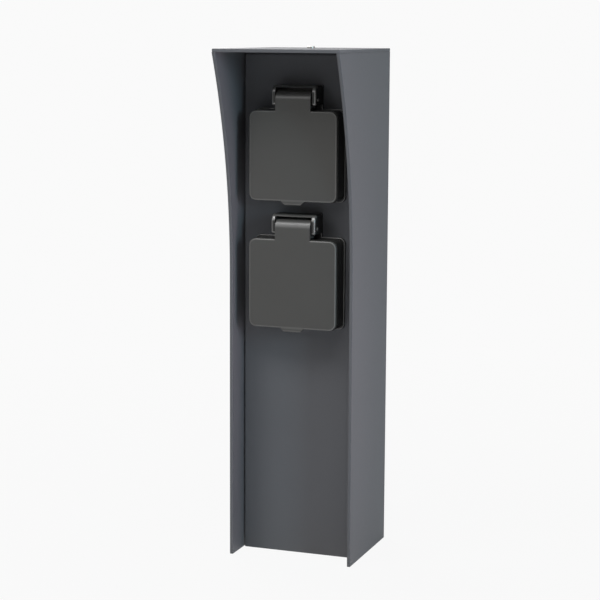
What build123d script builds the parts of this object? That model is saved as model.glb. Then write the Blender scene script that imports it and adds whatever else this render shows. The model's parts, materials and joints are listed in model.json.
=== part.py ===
from build123d import *
from math import atan, cos, pi, radians, sin, sqrt, tan
import os

# A free-standing garden socket column for outdoor use: a bent sheet-metal housing with a roof,
# a recessed front panel and two round-well sockets under spring-closed lids.
# X runs to the viewer's right, Y away from the viewer, Z up; the origin is on the ground under
# the middle of the roof plate. Millimetres.

# Housing
HEIGHT = 360.0            # ground to the top of the roof plate
WIDTH = 91.0              # outside of one cheek to outside of the other
ROOF_DEPTH = 114.0        # front to back of the roof plate
FOOT_DEPTH = 82.0         # front to back of the cheeks at the ground
FLARE_DROP = 155.0        # top of the roof to where the cheeks' front edges leave the vertical
FLARE_TAIL = 6.0          # straight run of those edges under the roof, in height
SHEET = 2.3               # coated sheet of the housing, roof and front panel
BEND_RADIUS = 3.0         # outside of the sheet's bends
ROOF_FRONT_CORNER = 1.0   # the roof plate's front corners, seen from above
EDGE_ROUND = 0.4          # coated sheet edges
PANEL_SETBACK = 61.0      # back of the housing to the front panel's face
PANEL_SIDE_GAP = 1.0      # each side of the front panel
PANEL_FLANGE = 30.0       # the front panel's folded top, under the roof

# Sockets
SOCKET_DROP = 73.4        # top of the roof to the upper lid's centre
SOCKET_PITCH = 89.0       # lower lid's centre to the upper one's
LID_WIDTH = 64.4
LID_HEIGHT = 62.3
LID_CORNER = 5.0
LID_PLATE = 2.4           # thickness of the lid's plate
LID_FACE = 18.0           # front panel's face to the lid's front face
LID_EDGE_ROUND = 0.9
LID_GAP = 0.3             # lid's back to the collar's rim
COLLAR_OVERSIZE = 0.6     # collar's outline over the lid's
COLLAR_WALL = 2.0
FLANGE_OVERSIZE = 2.2     # mounting flange's outline over the lid's
FLANGE_CORNER = 4.2
FLANGE_PLATE = 1.6
GASKET = 0.8
RIM_STEP = 2.9            # collar's rim to the socket's front face
FACE_PLATE = 2.0          # thickness of the socket's front face and of its well's wall
WELL_RADIUS = 19.5
WELL_DEPTH = 17.5
WELL_WALL = 1.8
WELL_FLOOR = 3.0
PANEL_HOLE_GAP = 2.2      # panel's round hole over the well's outside, in radius
CONTACT_PITCH = 19.0      # between the two pin holes
PIN_HOLE_RADIUS = 2.75
KEY_WIDTH = 5.0           # guide ribs at the sides of the well
KEY_HEIGHT = 1.9
KEY_START = 4.0           # front face to the guide ribs' front ends
MOUTH_RADIUS = 20.0       # the well's wider mouth
MOUTH_DEPTH = 3.5
MOUTH_CHAMFER = 0.5

# Lid's hinge
HINGE_ABOVE_LID = 7.45    # lid's top edge to the hinge axis
BARREL_RADIUS = 6.6
LUG_WIDTH = 25.6
LUG_SIDE_GAP = 0.8        # lug to each ear
EAR_THICKNESS = 2.6
EAR_SETBACK = 1.7         # lid's front face to the ears' front
EAR_BELOW_AXIS = 4.0
HOOD_ABOVE_AXIS = 9.8
HOOD_WEB = 1.4
HOOD_EDGE_ROUND = 1.2     # outer edges of the ears and the web
HOOD_CORNER = 5.0         # round front corner at the top of the hood
HOOD_TOE = 2.0            # round front corner at the bottom of each ear
PIN_RADIUS = 1.5
PIN_RUNNING_GAP = 0.05
PIN_STANDOUT = 0.5
SPRING_WIRE = 0.7
SPRING_RADIUS = 2.4       # middle of the wire
SPRING_LENGTH = 8.0       # along the pin
SPRING_TURNS = 5          # whole turns, before the last quarter
SPRING_LEG_SEAT = 0.8     # depth of the fixed leg's hole in the hood's back
SPRING_LEG_GAP = 0.15     # around the fixed leg
SPRING_DRIVE_GAP = 0.1    # moving leg to the wall that it presses on
POCKET_WIDTH = 14.0       # room for the spring inside the barrel
POCKET_RADIUS = 4.6
POCKET_CUT = 1.0          # hinge axis to the front of the pocket's opening
TAB_WIDTH = 17.0
TAB_TIP_WIDTH = 11.5
TAB_DROP = 2.75
TAB_ROUND = 1.5
TAB_ROOT = 1.0            # the tab's root inside the lid

# Lid's seal
SEAL_INNER = 21.8
SEAL_OUTER = 24.6
SEAL_GAP = 0.3
SEAL_RIB_GAP = 0.1
SEAL_RIB_WALL = 1.4
SEAL_RIB_HEIGHT = 2.2
LID_RIB = 1.2             # width and height of the ribs inside the lid

# Contacts behind the well
CARRIER_RADIUS = 19.0
CARRIER_FLANGE = 3.9
CARRIER_DEPTH = 15.9      # well's back to the carrier's back
SLEEVE_OUTER = 3.1
SLEEVE_INNER = 2.45
SLEEVE_SLIT = 0.8
CONTACT_CLEAR = 0.2       # around each contact in its pocket
TERMINAL_SIZE = 7.0       # side of a contact's terminal
TERMINAL_DEPTH = 10.1
CLIP_WIDTH = 6.0
CLIP_START = 5.8          # front face to the earth clips' tips
CLIP_NOSE = 3.4           # tips to the clips' nearest point to the plug
CLIP_BEND = 8.0           # tips to the clips' straight arms
CLIP_TIP_RISE = 0.5       # straight arms down to the tips, in radius
CLIP_STRIP = 0.8
CLIP_REACH = 17.9         # radius of the earth clips' tips
CLIP_CLEAR = 0.3
CLIP_BACK = 1.9           # well's back to the middle of the clips' bridge
CLIP_HEIGHT = 20.4        # radius of the clips' straight arms
CLIP_TAB_DROP = 15.3      # middle of the earth terminal's tab under the well's axis
EARTH_TERMINAL_HEIGHT = 6.0
CAP_WALL = 2.0
CAP_END = 1.8
CAP_DEPTH = 24.0
CAP_CLEAR = 0.3
CAP_SLOT_CLEAR = 0.5      # around the wires in the cap's slot

# Fasteners, by shank radius
M3 = 1.5
M35 = 1.75
M4 = 2.0
THREAD_GAP = 0.05         # shank to its threaded hole
CLEARANCE_GAP = 0.2       # shank to its clearance hole
FRAME_SCREW_INSET = 7.2   # lid's edges to a socket's corner screws, both ways
FRAME_SCREW_TAIL = 1.0
FRAME_SCREW_HEAD = 3.2
FRAME_SCREW_SINK = 2.4    # depth of the heads' seats in the socket's front face
WELL_SCREW_COVER = 4.0    # well screw's tip to the contact carrier's back
PAN_HEAD = 2.8            # heads of the well and cable clamp screws, in radius
PAN_HEAD_HEIGHT = 1.8
SMALL_HEAD = 2.2          # heads of the clamp screws in terminals, in radius
SMALL_HEAD_HEIGHT = 1.5
SMALL_DRIVE = 2.6         # width of their cross recess
HEX_DRIVE = 2.5
POST_RADIUS = 4.3
NUT_HEIGHT = 2.8
NUT_ACROSS = 6.0
M4_NUT_HEIGHT = 3.2
M4_NUT_ACROSS = 7.0
BACK_SCREW_LENGTH = 10.0
BACK_SCREW_HEAD = 4.0
BACK_SCREW_SINK = 2.0
BACK_SCREW_TIP_GAP = 1.0
STANDOFF_ACROSS = 7.0
STANDOFF_INSET = 9.2      # housing's inner side to the standoffs
STANDOFF_LOW = 70.0       # height of the lower two
STANDOFF_DROP = 25.0      # top of the roof to the upper two
ROOF_SCREW_SETBACK = 42.6 # back of the housing to the roof screw
ROOF_SCREW_HEAD = 2.85
ROOF_SCREW_HEAD_HEIGHT = 1.65
ROOF_SCREW_LENGTH = 8.5
RIVET_NUT_RADIUS = 2.5
RIVET_NUT_FLANGE = 3.6
RIVET_NUT_LENGTH = 8.0
RIVET_NUT_RIM = 0.8

# Ground bracket and cable entry
BRACKET_PLATE = 3.0
BRACKET_SIDE_GAP = 5.2    # each side of the bracket
BRACKET_FRONT_GAP = 3.2   # front panel's back to the bracket
BRACKET_RISE = 50.0
BRACKET_SCREW_INSET = 10.0
BRACKET_SCREW_Z = 28.0
BRACKET_BEND = 4.2        # outside radius of its bend
GROUND_HOLE_RADIUS = 3.25
GROUND_HOLE_INSET = 8.0   # bracket's sides to the ground holes
GROUND_HOLE_SPACING_Y = 24.0
GROUND_HOLE_SETBACK = 30.0  # back of the housing to the middle of the ground holes
INLET_HOLE_RADIUS = 9.0
GROMMET_BORE = 5.0
GROMMET_RIM = 2.5
GROMMET_RIM_HEIGHT = 1.5
GROMMET_LIFT = 0.3
CLAMP_Z = 39.0
CLAMP_WIDTH = 34.0
CLAMP_HEIGHT = 8.0
CLAMP_DEPTH = 8.0
CLAMP_ARCH = 5.0
CLAMP_ROUND = 1.0
CLAMP_SCREW_X = 12.0

# Terminal block and earthing
BLOCK_WIDTH = 42.0
BLOCK_DEPTH = 18.0
BLOCK_HEIGHT = 26.0
BLOCK_Z = 84.0            # underside
POLE_PITCH = 14.0
POLE_WIRE_OFFSET = 2.0    # each of a pole's two wires from its middle
WIRE_RUN_SHARE = 0.4      # of the room under a socket: its wires' slanting run, and their straight lead
WIRE_BEND_SHARE = 0.3     # of the same room: their bends' radius
BLOCK_WIRE_Y = 8.3        # block's front to its wires
BLOCK_WIRE_DEPTH = 6.0
BLOCK_WIRE_GAP = 0.2
BLOCK_SCREW_X = 7.0
BLOCK_HEAD_SINK = 3.0     # block's front to the heads' undersides
BLOCK_HEAD_BORE = 2.5
BLOCK_ROUND = 0.8
BLOCK_GROOVE = 1.2        # depth of the grooves between the poles
BLOCK_GROOVE_WIDTH = 1.0
WIRE_RADIUS = 1.4
WIRE_END_GAP = 0.1
STUD_X = 4.0
STUD_Z = 58.0
STUD_LENGTH = 10.5
LUG_RING = 4.0
LUG_PLATE = 0.8
LUG_BARREL = 1.9
LUG_BARREL_START = 5.5    # stud's axis to the barrel's lower end
LUG_BARREL_LENGTH = 6.0
BOND_BEND = 6.0
BOND_DROP = 4.0           # terminal block's underside to the bonding wire's upper bend
BOND_LEAD = 3.5           # lug's barrel to its lower bend

# Places that follow from the sizes
back_y = ROOF_DEPTH / 2
roof_y = -ROOF_DEPTH / 2
foot_y = back_y - FOOT_DEPTH
panel_y = back_y - PANEL_SETBACK
panel_back_y = panel_y + SHEET
wall_y = back_y - SHEET                        # inner face of the back wall
cheek_top = HEIGHT - SHEET
inner_x = WIDTH / 2 - SHEET
panel_x = inner_x - PANEL_SIDE_GAP
flare_start = HEIGHT - FLARE_DROP
socket_heights = {"lower": HEIGHT - SOCKET_DROP - SOCKET_PITCH, "upper": HEIGHT - SOCKET_DROP}
standoff_x = inner_x - STANDOFF_INSET
standoff_heights = (STANDOFF_LOW, HEIGHT - STANDOFF_DROP)
roof_screw_y = back_y - ROOF_SCREW_SETBACK
bracket_x = inner_x - BRACKET_SIDE_GAP
bracket_screw_x = bracket_x - BRACKET_SCREW_INSET
ground_hole_x = bracket_x - GROUND_HOLE_INSET
ground_hole_y = back_y - GROUND_HOLE_SETBACK

# Places in a socket's own frame: the panel's face is y = 0, the lid's centre z = 0
lid_front = -LID_FACE
lid_back = lid_front + LID_PLATE
rim_y = lid_back + LID_GAP
face_y = rim_y + RIM_STEP
flange_back = -GASKET
flange_front = flange_back - FLANGE_PLATE
floor_y = face_y + WELL_DEPTH
well_back = floor_y + WELL_FLOOR
well_outer = WELL_RADIUS + WELL_WALL
hinge_y = lid_front + BARREL_RADIUS
hinge_z = LID_HEIGHT / 2 + HINGE_ABOVE_LID
ear_inner = LUG_WIDTH / 2 + LUG_SIDE_GAP
ear_outer = ear_inner + EAR_THICKNESS
ear_front = lid_front + EAR_SETBACK
hood_top = hinge_z + HOOD_ABOVE_AXIS
collar_width = LID_WIDTH + COLLAR_OVERSIZE
collar_height = LID_HEIGHT + COLLAR_OVERSIZE
collar_corner = LID_CORNER + COLLAR_OVERSIZE / 2
flange_width = LID_WIDTH + FLANGE_OVERSIZE
flange_height = LID_HEIGHT + FLANGE_OVERSIZE
carrier_back = well_back + CARRIER_DEPTH
carrier_step = well_back + CARRIER_FLANGE
clip_bridge = well_back + CLIP_BACK
pole_x = CONTACT_PITCH / 2
terminal_front = carrier_back - 3.1
terminal_back = terminal_front + TERMINAL_DEPTH
wire_y = terminal_back - TERMINAL_SIZE / 2
frame_screw_x = LID_WIDTH / 2 - FRAME_SCREW_INSET
frame_screw_z = LID_HEIGHT / 2 - FRAME_SCREW_INSET
frame_screw_places = [
    (x, z) for x in (-frame_screw_x, frame_screw_x) for z in (-frame_screw_z, frame_screw_z)
]
clip_tip_y = face_y + CLIP_START
earth_screw_z = -CLIP_TAB_DROP + EARTH_TERMINAL_HEIGHT / 2
well_screw_tip = carrier_back - WELL_SCREW_COVER
spring_sweep = 90.0 + 360.0 * SPRING_TURNS
cap_radius = CARRIER_RADIUS + CAP_CLEAR + CAP_WALL

# Places in the terminal block
block_top = BLOCK_Z + BLOCK_HEIGHT
block_front = wall_y - BLOCK_DEPTH
block_wire_y = block_front + BLOCK_WIRE_Y
pole_places = {"live": -POLE_PITCH, "earth": 0.0, "neutral": POLE_PITCH}
wire_rooms = {
    "lower": socket_heights["lower"] - cap_radius - block_top,
    "upper": SOCKET_PITCH - 2 * cap_radius,
}
back_screw_places = (
    [(x, z) for x in (-standoff_x, standoff_x) for z in standoff_heights]
    + [(x, BRACKET_SCREW_Z) for x in (-bracket_screw_x, bracket_screw_x)]
    + [(x, BLOCK_Z + BLOCK_HEIGHT / 2) for x in (-BLOCK_SCREW_X, BLOCK_SCREW_X)]
)


def block(x, y, z):
    """A box between two corners, given as a pair of limits on each axis."""
    middle = [(a + b) / 2 for a, b in (x, y, z)]
    return Pos(*middle) * Box(x[1] - x[0], y[1] - y[0], z[1] - z[0])


def rod_x(radius, x, y, z):
    """A cylinder along X between the limits x, about the axis at (y, z)."""
    return Pos((x[0] + x[1]) / 2, y, z) * Rot(0, 90, 0) * Cylinder(radius, x[1] - x[0])


def rod_y(radius, y, x=0.0, z=0.0):
    """A cylinder along Y between the limits y, about the axis at (x, z)."""
    return Pos(x, (y[0] + y[1]) / 2, z) * Rot(90, 0, 0) * Cylinder(radius, y[1] - y[0])


def rod_z(radius, z, x=0.0, y=0.0):
    """A cylinder along Z between the limits z, about the axis at (x, y)."""
    return Pos(x, y, (z[0] + z[1]) / 2) * Cylinder(radius, z[1] - z[0])


def rounded_slab(width, height, corner, y):
    """A slab facing the viewer with rounded corners, between the limits y."""
    outline = extrude(RectangleRounded(width, height, corner), (y[1] - y[0]) / 2, both=True)
    return Pos(0, (y[0] + y[1]) / 2, 0) * Rot(90, 0, 0) * outline


def side_profile(outline, half_width):
    """A curve drawn in (y, z), closed and extruded to both sides of the middle plane."""
    return extrude(Plane.YZ * make_face(outline), half_width, both=True)


def hexagon(across, height):
    """A hexagonal prism on the XY plane, rising along Z."""
    return extrude(RegularPolygon(across / 2, 6, major_radius=False), height)


def facing_viewer(part):
    """Turn a part built along +Z so that its top faces the viewer."""
    return Rot(90, 0, 0) * part


def facing_back(part):
    """Turn a part built along +Z so that its top faces away from the viewer."""
    return Rot(-90, 0, 0) * part


def pan_screw(shank, length, head, head_height, drive):
    """A screw with a rounded head above z = 0, its shank below, and a cross recess."""
    top = Cylinder(head, head_height, align=(Align.CENTER, Align.CENTER, Align.MIN))
    top = fillet(top.edges().group_by(Axis.Z)[-1], head_height * 0.45)
    depth = head_height * 0.6
    for size in ((drive, drive / 4), (drive / 4, drive)):
        top -= Pos(0, 0, head_height - depth / 2) * Box(size[0], size[1], depth + 0.01)
    return top + rod_z(shank, (-length, 0.0))


def countersunk_screw(shank, length, head, sink, drive):
    """A screw whose flat conical head is flush with z = 0, with a hexagon recess."""
    cone = Pos(0, 0, -sink / 2) * Cone(shank, head, sink)
    body = cone + rod_z(shank, (-length, -sink))
    return body - Pos(0, 0, -sink * 0.7) * hexagon(drive, sink)


# Housing


def cheek_outline(over):
    """Side view of the housing: an upright foot, then a flare whose straight end runs past the roof."""
    foot = (foot_y, 0)
    start = (foot_y, flare_start)
    rise = cheek_top - flare_start - FLARE_TAIL
    lean = 0.0
    for _ in range(30):
        lean = 2 * atan((foot_y - roof_y - FLARE_TAIL * tan(lean)) / rise)
    end = (foot_y - rise * tan(lean / 2), cheek_top - FLARE_TAIL)
    run = FLARE_TAIL + over
    top = (end[0] - run * tan(lean), end[1] + run)
    flare = TangentArc(start, end, tangent=(0, 1))
    return Line(foot, start) + flare + Polyline(end, top, (back_y, top[1]), (back_y, 0), foot)


def make_housing_shell():
    over = 2 * SHEET
    solid = side_profile(cheek_outline(over), WIDTH / 2)
    corners = [e for e in solid.edges().filter_by(Axis.Z) if e.center().Y > back_y - 0.1]
    solid = fillet(corners, BEND_RADIUS)
    room = block((-inner_x, inner_x), (roof_y - 2 * SHEET, wall_y), (-SHEET, HEIGHT + over))
    inner = [e for e in room.edges().filter_by(Axis.Z) if e.center().Y > wall_y - 0.1]
    solid -= fillet(inner, max(BEND_RADIUS - SHEET, EDGE_ROUND))
    front = [e for e in solid.edges() if e.bounding_box().max.Y < foot_y + 0.01 and e.length > SHEET * 2]
    solid = fillet(front, EDGE_ROUND)
    solid -= block((-WIDTH, WIDTH), (-ROOF_DEPTH, ROOF_DEPTH), (cheek_top, cheek_top + 3 * over))
    for x, z in back_screw_places:
        hole = rod_y(M4 + CLEARANCE_GAP, (wall_y - 1, back_y + 1), x, z)
        sink = Pos(x, back_y - BACK_SCREW_SINK / 2, z) * facing_back(
            Cone(M4 + CLEARANCE_GAP, BACK_SCREW_HEAD + CLEARANCE_GAP, BACK_SCREW_SINK)
        )
        solid -= hole + sink
    return solid


def make_roof_plate():
    plate = block((-WIDTH / 2, WIDTH / 2), (roof_y, back_y), (cheek_top, HEIGHT))
    uprights = plate.edges().filter_by(Axis.Z).sort_by(Axis.Y)
    plate = fillet(uprights[2:], BEND_RADIUS)
    uprights = plate.edges().filter_by(Axis.Z).sort_by(Axis.Y)
    plate = fillet(uprights[:2], ROOF_FRONT_CORNER)
    rims = plate.edges().group_by(Axis.Z)
    plate = fillet(rims[-1], EDGE_ROUND)
    lower_front = plate.edges().group_by(Axis.Z)[0].filter_by(Axis.X).sort_by(Axis.Y)[:1]
    plate = fillet(lower_front, EDGE_ROUND)
    return plate - rod_z(M3 + CLEARANCE_GAP, (cheek_top - 1, HEIGHT + 1), 0, roof_screw_y)


def make_roof_screw():
    head = pan_screw(M3, ROOF_SCREW_LENGTH, ROOF_SCREW_HEAD, ROOF_SCREW_HEAD_HEIGHT, ROOF_SCREW_HEAD)
    return Pos(0, roof_screw_y, HEIGHT) * head


def make_roof_rivet_nut():
    """The threaded insert in the front panel's folded top, which the roof screw draws on."""
    under = cheek_top - SHEET
    body = rod_z(RIVET_NUT_RADIUS, (cheek_top - RIVET_NUT_LENGTH, cheek_top), 0, roof_screw_y)
    rim = rod_z(RIVET_NUT_FLANGE, (under - RIVET_NUT_RIM, under), 0, roof_screw_y)
    return body + rim - rod_z(M3 + THREAD_GAP, (cheek_top - 2 * RIVET_NUT_LENGTH, HEIGHT), 0, roof_screw_y)


def make_front_panel():
    bottom = (panel_y, 0)
    outline = Polyline(
        bottom,
        (panel_y, cheek_top),
        (panel_y + PANEL_FLANGE, cheek_top),
        (panel_y + PANEL_FLANGE, cheek_top - SHEET),
        (panel_back_y, cheek_top - SHEET),
        (panel_back_y, 0),
        bottom,
    )
    panel = side_profile(outline, panel_x)
    bends = panel.edges().filter_by(Axis.X)
    outer = [e for e in bends if e.center().Y < panel_y + 0.1 and e.center().Z > cheek_top - 0.1]
    panel = fillet(outer, BEND_RADIUS)
    bends = panel.edges().filter_by(Axis.X)
    inner = [e for e in bends if abs(e.center().Y - panel_back_y) < 0.1 and e.center().Z > HEIGHT / 2]
    panel = fillet(inner, max(BEND_RADIUS - SHEET, EDGE_ROUND))
    sides = [e for e in panel.edges().filter_by(Axis.Z) if e.center().Y < panel_y + 0.1]
    panel = fillet(sides, EDGE_ROUND)
    for centre in socket_heights.values():
        panel -= rod_y(well_outer + PANEL_HOLE_GAP, (panel_y - 1, panel_back_y + 1), 0, centre)
        for x, z in frame_screw_places:
            panel -= rod_y(M35 + CLEARANCE_GAP, (panel_y - 1, panel_back_y + 1), x, centre + z)
    return panel - rod_z(RIVET_NUT_RADIUS + THREAD_GAP, (cheek_top - 2 * SHEET, HEIGHT), 0, roof_screw_y)


def make_panel_standoffs():
    """Hexagonal posts from the front panel's back to the back wall, threaded at the wall."""
    length = wall_y - panel_back_y
    depth = BACK_SCREW_LENGTH - SHEET + BACK_SCREW_TIP_GAP
    post = hexagon(STANDOFF_ACROSS, length) - rod_z(M4 + THREAD_GAP, (length - depth, length + 1))
    places = [(x, z) for x in (-standoff_x, standoff_x) for z in standoff_heights]
    return [Pos(x, panel_back_y, z) * facing_back(post) for x, z in places]


def make_back_screws():
    screw = countersunk_screw(M4, BACK_SCREW_LENGTH, BACK_SCREW_HEAD, BACK_SCREW_SINK, HEX_DRIVE)
    screw = facing_back(screw)
    return [Pos(x, back_y, z) * screw for x, z in back_screw_places]


# Ground bracket and cable entry


def make_ground_bracket():
    front = panel_back_y + BRACKET_FRONT_GAP
    outline = Polyline(
        (front, 0),
        (wall_y, 0),
        (wall_y, BRACKET_RISE),
        (wall_y - BRACKET_PLATE, BRACKET_RISE),
        (wall_y - BRACKET_PLATE, BRACKET_PLATE),
        (front, BRACKET_PLATE),
        (front, 0),
    )
    bracket = side_profile(outline, bracket_x)
    bends = bracket.edges().filter_by(Axis.X)
    outer = [e for e in bends if e.center().Y > wall_y - 0.1 and e.center().Z < 0.1]
    bracket = fillet(outer, BRACKET_BEND)
    for x in (-1, 1):
        for y in (-1, 1):
            place = (x * ground_hole_x, ground_hole_y + y * GROUND_HOLE_SPACING_Y / 2)
            bracket -= rod_z(GROUND_HOLE_RADIUS, (-1, BRACKET_PLATE + 1), *place)
    bracket -= rod_z(INLET_HOLE_RADIUS, (-1, BRACKET_PLATE + 1), 0, ground_hole_y)
    through = (wall_y - BRACKET_PLATE - 1, wall_y + 1)
    for side in (-1, 1):
        bracket -= rod_y(M4 + THREAD_GAP, through, side * bracket_screw_x, BRACKET_SCREW_Z)
        bracket -= rod_y(M3 + THREAD_GAP, through, side * CLAMP_SCREW_X, CLAMP_Z)
    return bracket


def make_cable_grommet():
    """A snap-in bush that lines the cable hole."""
    body = rod_z(INLET_HOLE_RADIUS, (GROMMET_LIFT, BRACKET_PLATE), 0, ground_hole_y)
    rim_z = (BRACKET_PLATE, BRACKET_PLATE + GROMMET_RIM_HEIGHT)
    rim = rod_z(INLET_HOLE_RADIUS + GROMMET_RIM, rim_z, 0, ground_hole_y)
    rim = fillet(rim.edges().group_by(Axis.Z)[-1], GROMMET_RIM_HEIGHT / 2)
    return body + rim - rod_z(GROMMET_BORE, (-1, BRACKET_PLATE * 3), 0, ground_hole_y)


def make_cable_clamp():
    """A saddle that presses the cable against the bracket's upright."""
    seat = wall_y - BRACKET_PLATE
    front = seat - CLAMP_DEPTH
    height = (CLAMP_Z - CLAMP_HEIGHT / 2, CLAMP_Z + CLAMP_HEIGHT / 2)
    saddle = block((-CLAMP_WIDTH / 2, CLAMP_WIDTH / 2), (front, seat), height)
    saddle = fillet([e for e in saddle.edges() if e.center().Y < front + 0.1], CLAMP_ROUND)
    saddle -= rod_z(CLAMP_ARCH, (height[0] - 1, height[1] + 1), 0, seat)
    for side in (-1, 1):
        saddle -= rod_y(M3 + CLEARANCE_GAP, (front - 1, seat + 1), side * CLAMP_SCREW_X, CLAMP_Z)
    return saddle


def make_cable_clamp_screws():
    seat = wall_y - BRACKET_PLATE
    screw = facing_viewer(
        pan_screw(M3, CLAMP_DEPTH + BRACKET_PLATE - THREAD_GAP, PAN_HEAD, PAN_HEAD_HEIGHT, PAN_HEAD)
    )
    return [Pos(side * CLAMP_SCREW_X, seat - CLAMP_DEPTH, CLAMP_Z) * screw for side in (-1, 1)]


# Terminal block, wires and earthing


def make_terminal_block():
    body = block((-BLOCK_WIDTH / 2, BLOCK_WIDTH / 2), (block_front, wall_y), (BLOCK_Z, block_top))
    body = fillet([e for e in body.edges() if e.center().Y < block_front + 0.1], BLOCK_ROUND)
    wire_hole = WIRE_RADIUS + BLOCK_WIRE_GAP
    rows = (BLOCK_Z + BLOCK_WIRE_DEPTH / 2, block_top - BLOCK_WIRE_DEPTH / 2)
    for pole in pole_places.values():
        for offset in (-POLE_WIRE_OFFSET, POLE_WIRE_OFFSET):
            entry = (block_top - BLOCK_WIRE_DEPTH, block_top + 1)
            body -= rod_z(wire_hole, entry, pole + offset, block_wire_y)
        body -= rod_z(wire_hole, (BLOCK_Z - 1, BLOCK_Z + BLOCK_WIRE_DEPTH), pole, block_wire_y)
        for row in rows:
            body -= rod_y(BLOCK_HEAD_BORE, (block_front - 1, block_wire_y - WIRE_RADIUS), pole, row)
    body -= rod_z(wire_hole, (BLOCK_Z - 1, BLOCK_Z + BLOCK_WIRE_DEPTH), STUD_X, block_wire_y)
    depth = BACK_SCREW_LENGTH - SHEET + BACK_SCREW_TIP_GAP
    for side in (-1, 1):
        bore = (wall_y - depth, wall_y + 1)
        body -= rod_y(M4 + THREAD_GAP, bore, side * BLOCK_SCREW_X, BLOCK_Z + BLOCK_HEIGHT / 2)
    walls = (-POLE_PITCH / 2, POLE_PITCH / 2)
    for x in walls:
        groove = (block_front - 1, block_front + BLOCK_GROOVE)
        half = BLOCK_GROOVE_WIDTH / 2
        body -= block((x - half, x + half), groove, (BLOCK_Z - 1, block_top + 1))
    return body


def make_terminal_screws():
    """The clamp screws of the terminal block, two to a pole."""
    tip = block_wire_y - WIRE_RADIUS - THREAD_GAP
    head_y = block_front + BLOCK_HEAD_SINK
    screw = facing_viewer(pan_screw(M3, tip - head_y, SMALL_HEAD, SMALL_HEAD_HEIGHT, SMALL_DRIVE))
    rows = (BLOCK_Z + BLOCK_WIRE_DEPTH / 2, block_top - BLOCK_WIRE_DEPTH / 2)
    return [Pos(x, head_y, z) * screw for x in pole_places.values() for z in rows]


def wire_along(points, bend):
    """A round wire along straight runs joined by tangent arcs; prints its route's figures."""
    path = FilletPolyline(*points, radius=bend)
    wire = sweep(path.faces()[0] if path.faces() else (path ^ 0) * Circle(WIRE_RADIUS), path=path)
    share = wire.volume / (pi * WIRE_RADIUS ** 2 * path.length)
    figures = round(path.length, 1), round(bend, 1), round(share, 4)
    print("wire of %s mm, bends of %s mm, volume share %s" % figures)
    return wire


def make_socket_wire(socket, pole):
    """One core from the terminal block up to a socket's terminal, clear of the lower socket."""
    centre = socket_heights[socket]
    side = {"live": -1, "earth": 0, "neutral": 1}[pole]
    outward = side if side else -1
    offset = POLE_WIRE_OFFSET if socket == "upper" else -POLE_WIRE_OFFSET
    start_x = pole_places[pole] + outward * offset
    end_x = side * pole_x
    end_z = centre + 1.0 - WIRE_END_GAP
    if pole == "earth":
        end_z = centre - CLIP_TAB_DROP + EARTH_TERMINAL_HEIGHT - 1.5 - WIRE_END_GAP
    run = wire_rooms[socket] * WIRE_RUN_SHARE
    bend_z = centre - cap_radius - run
    start_z = block_top - BLOCK_WIRE_DEPTH + WIRE_END_GAP
    behind = panel_y + wire_y
    points = (
        (start_x, block_wire_y, start_z),
        (start_x, block_wire_y, bend_z - run),
        (end_x, behind, bend_z),
        (end_x, behind, end_z),
    )
    return wire_along(points, wire_rooms[socket] * WIRE_BEND_SHARE)


def make_earth_stud():
    return rod_y(M4, (wall_y - STUD_LENGTH, wall_y), STUD_X, STUD_Z)


def make_earth_lug():
    """A ring tongue under the stud's nut, with the barrel that holds the bonding wire."""
    ring_y = (wall_y - LUG_PLATE, wall_y)
    barrel_y = wall_y - LUG_BARREL
    low = STUD_Z + LUG_BARREL_START
    lug = rod_y(LUG_RING, ring_y, STUD_X, STUD_Z)
    lug += block((STUD_X - LUG_BARREL, STUD_X + LUG_BARREL), ring_y, (STUD_Z, low + 1.0))
    lug += rod_z(LUG_BARREL, (low, low + LUG_BARREL_LENGTH), STUD_X, barrel_y)
    lug -= rod_z(WIRE_RADIUS + THREAD_GAP, (low + 1.0, low + LUG_BARREL_LENGTH + 1), STUD_X, barrel_y)
    return lug - rod_y(M4 + THREAD_GAP, (ring_y[0] - 1, wall_y + 1), STUD_X, STUD_Z)


def make_earth_nut():
    nut = hexagon(M4_NUT_ACROSS, M4_NUT_HEIGHT) - rod_z(M4 + THREAD_GAP, (-1, M4_NUT_HEIGHT + 1))
    return Pos(STUD_X, wall_y - LUG_PLATE, STUD_Z) * facing_viewer(nut)


def make_bonding_wire():
    barrel_y = wall_y - LUG_BARREL
    low = STUD_Z + LUG_BARREL_START + 1.0 + WIRE_END_GAP
    points = (
        (STUD_X, block_wire_y, BLOCK_Z + BLOCK_WIRE_DEPTH - WIRE_END_GAP),
        (STUD_X, block_wire_y, BLOCK_Z - BOND_DROP),
        (STUD_X, barrel_y, low + LUG_BARREL_LENGTH + BOND_LEAD),
        (STUD_X, barrel_y, low),
    )
    return wire_along(points, BOND_BEND)


# One socket, in its own frame


def hinge_hood():
    """The two ears and the web over them that carry the hinge pin."""
    low = hinge_z - EAR_BELOW_AXIS
    outline = Polyline(
        (flange_back, low),
        (ear_front, low),
        (ear_front, hood_top),
        (flange_back, hood_top),
        (flange_back, low),
    )
    hood = side_profile(outline, ear_outer)
    front = hood.edges().filter_by(Axis.X).sort_by(Axis.Y)[:2].sort_by(Axis.Z)
    hood = fillet(front[1:], HOOD_CORNER)
    front = hood.edges().filter_by(Axis.X).sort_by(Axis.Y)[:2].sort_by(Axis.Z)
    hood = fillet(front[:1], HOOD_TOE)
    flanks = [e for e in hood.edges() if abs(abs(e.center().X) - ear_outer) < 0.01]
    flanks = [e for e in flanks if e.center().Y < -2 * GASKET]
    middle = (ear_front + flange_front) / 2
    hood = fillet([e for e in flanks if e.center().Y < middle or e.center().Z > low + 1], HOOD_EDGE_ROUND)
    room = block((-ear_inner, ear_inner), (lid_front - 1, flange_front), (low - 1, hood_top - HOOD_WEB))
    return hood - room


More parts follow.
